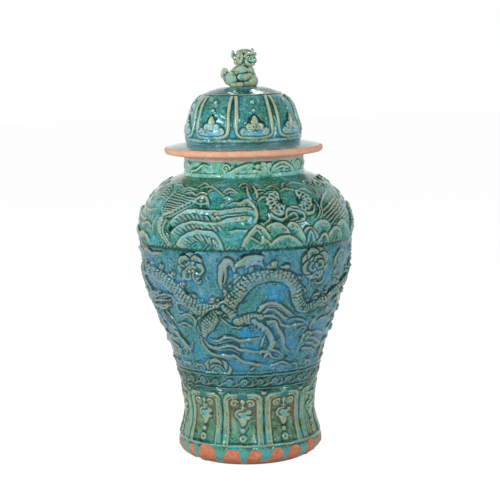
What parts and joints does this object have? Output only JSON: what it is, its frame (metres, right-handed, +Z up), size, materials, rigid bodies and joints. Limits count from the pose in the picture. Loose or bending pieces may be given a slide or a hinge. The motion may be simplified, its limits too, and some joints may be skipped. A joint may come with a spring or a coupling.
{
  "type": "temple jar",
  "caption": "Lidded baluster jar on a waisted foot, with a domed lid, flat brim, seated lion finial and applied relief of dragons, phoenixes, clouds and panels.",
  "frame": {"origin": "middle of the foot, on the plane that the jar stands on", "axes": "+Z up along the jar's axis, -Y the side that faces the viewer, +X to the viewer's right"},
  "size_m": [0.3342, 0.339, 0.635],
  "materials": {
    "green_glaze": "glossy running glaze, sea green with darker pools",
    "blue_glaze": "glossy running glaze, turquoise to blue",
    "relief_glaze": "glossy glaze broken to olive and tan on the raised clay",
    "bare_clay": "matt unglazed terracotta"
  },
  "bodies": {
    "jar": {"jar_foot": "green_glaze", "jar_belly": "blue_glaze", "jar_shoulder": "green_glaze", "jar_neck": "green_glaze", "foot_frames": "relief_glaze", "foot_cloud_1": "relief_glaze", "foot_cloud_2": "relief_glaze", "foot_cloud_3": "relief_glaze", "foot_cloud_4": "relief_glaze", "foot_cloud_5": "relief_glaze", "foot_cloud_6": "relief_glaze", "foot_cloud_7": "relief_glaze", "foot_cloud_8": "relief_glaze", "foot_cloud_9": "relief_glaze", "foot_cloud_10": "relief_glaze", "dragon_front": "relief_glaze", "dragon_back": "relief_glaze", "lotus_cloud_front": "relief_glaze", "lotus_cloud_back": "relief_glaze", "peony_cloud_front": "relief_glaze", "peony_cloud_back": "relief_glaze", "wave_crest_front": "relief_glaze", "wave_crest_back": "relief_glaze", "phoenix_front": "relief_glaze", "phoenix_back": "relief_glaze", "peony_front": "relief_glaze", "peony_back": "relief_glaze", "rocks_front": "relief_glaze", "rocks_back": "relief_glaze", "hook_cloud_front": "relief_glaze", "hook_cloud_back": "relief_glaze", "side_cloud_front": "relief_glaze", "side_cloud_back": "relief_glaze", "low_cloud_front": "relief_glaze", "low_cloud_back": "relief_glaze", "curling_flame_front": "relief_glaze", "curling_flame_back": "relief_glaze", "far_wing_front": "relief_glaze", "far_wing_back": "relief_glaze", "neck_scroll_front": "relief_glaze", "neck_scroll_back": "relief_glaze"},
    "lid": {"lid_dome": "green_glaze", "lid_brim": "bare_clay", "lid_collar": "bare_clay", "lid_frames": "relief_glaze", "lid_cloud_1": "relief_glaze", "lid_cloud_2": "relief_glaze", "lid_cloud_3": "relief_glaze", "lid_cloud_4": "relief_glaze", "lid_cloud_5": "relief_glaze", "lid_cloud_6": "relief_glaze", "lid_cloud_7": "relief_glaze", "lid_cloud_8": "relief_glaze", "lion_body": "relief_glaze", "lion_head": "relief_glaze", "lion_tail": "relief_glaze", "lion_forelegs": "relief_glaze", "lion_ball": "relief_glaze"}
  },
  "joints": [
    {"name": "lid_lift", "type": "slide", "parent": "jar", "child": "lid", "axis": [0, 0, 1], "range_m": [0, 0.15]}
  ]
}
